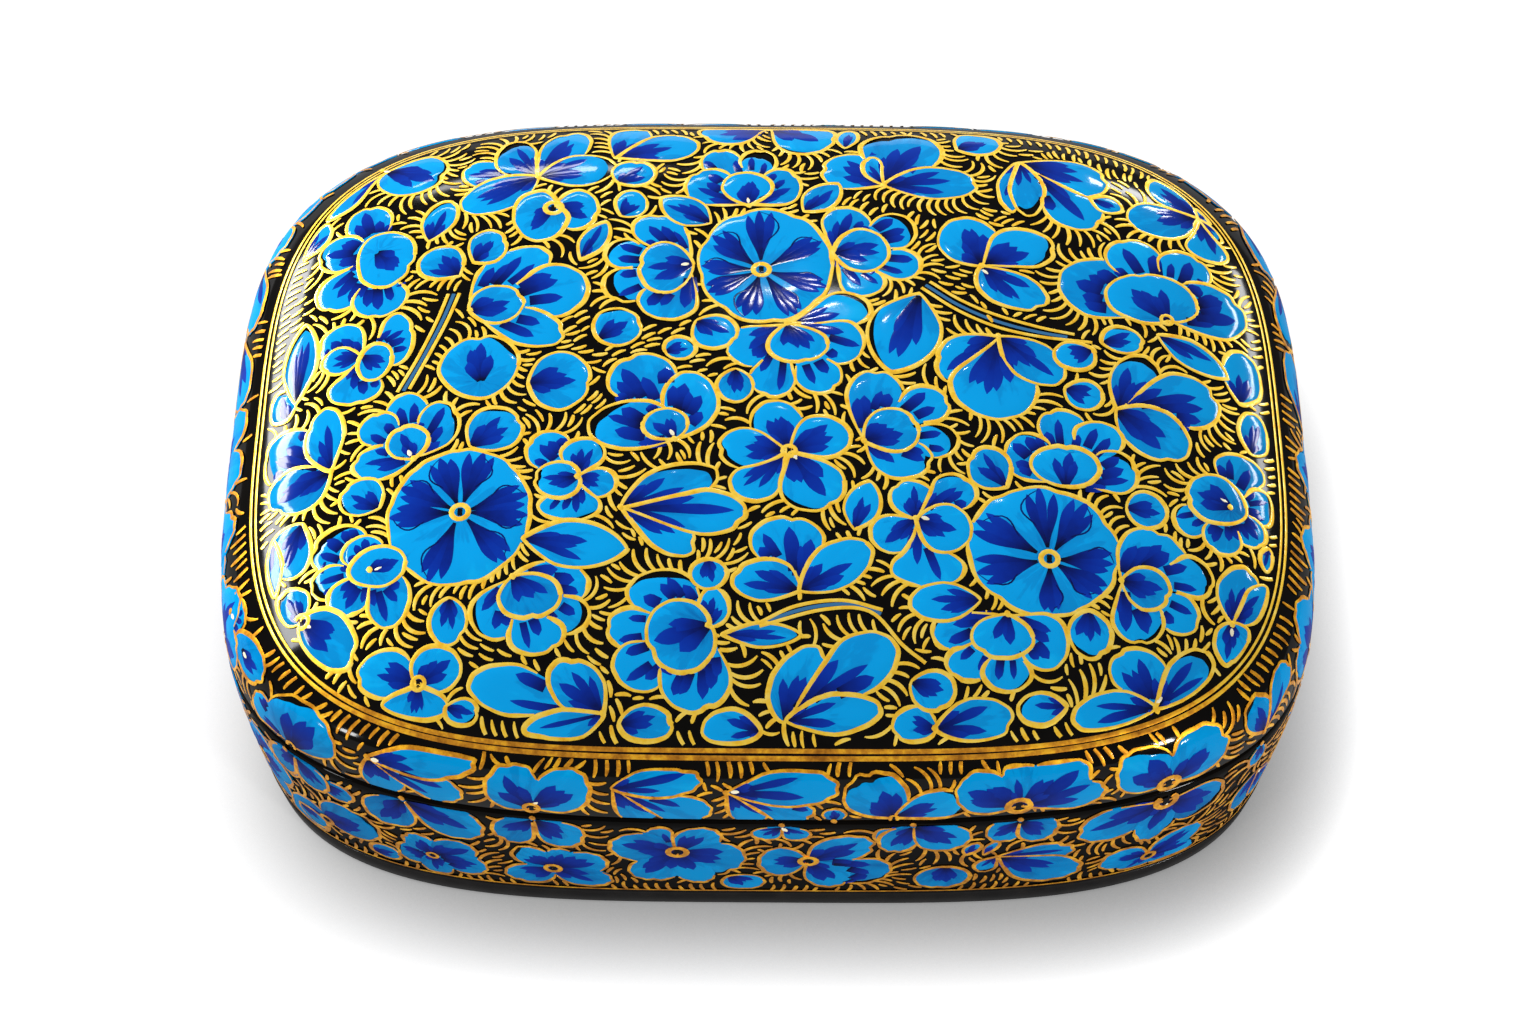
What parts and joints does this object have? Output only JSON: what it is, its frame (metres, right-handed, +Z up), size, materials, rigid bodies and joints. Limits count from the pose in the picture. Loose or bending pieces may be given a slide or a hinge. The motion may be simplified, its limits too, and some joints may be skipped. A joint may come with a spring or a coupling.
{
  "type": "papier-mache trinket box",
  "caption": "Low rounded-rectangle lacquered papier-mache box with a domed lift-off lid, centred by a thin collar inside the tray.",
  "frame": {"origin": "middle of the underside, on the surface the box stands on", "axes": "+Z up, +X along the length to the right of the picture, -Y towards the picture's viewer"},
  "size_m": [0.125, 0.0976, 0.0391],
  "materials": {
    "painted_lacquer": "paper pulp, black ground with turquoise, ultramarine and gold flower painting under clear gloss lacquer",
    "lid_lacquer": "paper pulp, black ground with turquoise, ultramarine and gold flower painting under clear gloss lacquer",
    "black_lacquer": "pasted board, black gloss lacquer",
    "collar_lacquer": "pasted paper strip, black satin lacquer"
  },
  "bodies": {
    "tray": {"base_board": "black_lacquer", "body_shell": "painted_lacquer", "inner_collar": "collar_lacquer"},
    "lid": {"lid_shell": "lid_lacquer"}
  },
  "joints": [
    {"name": "lid_lift", "type": "slide", "parent": "tray", "child": "lid", "axis": [0, 0, 1], "range_m": [0, 0.045]}
  ]
}
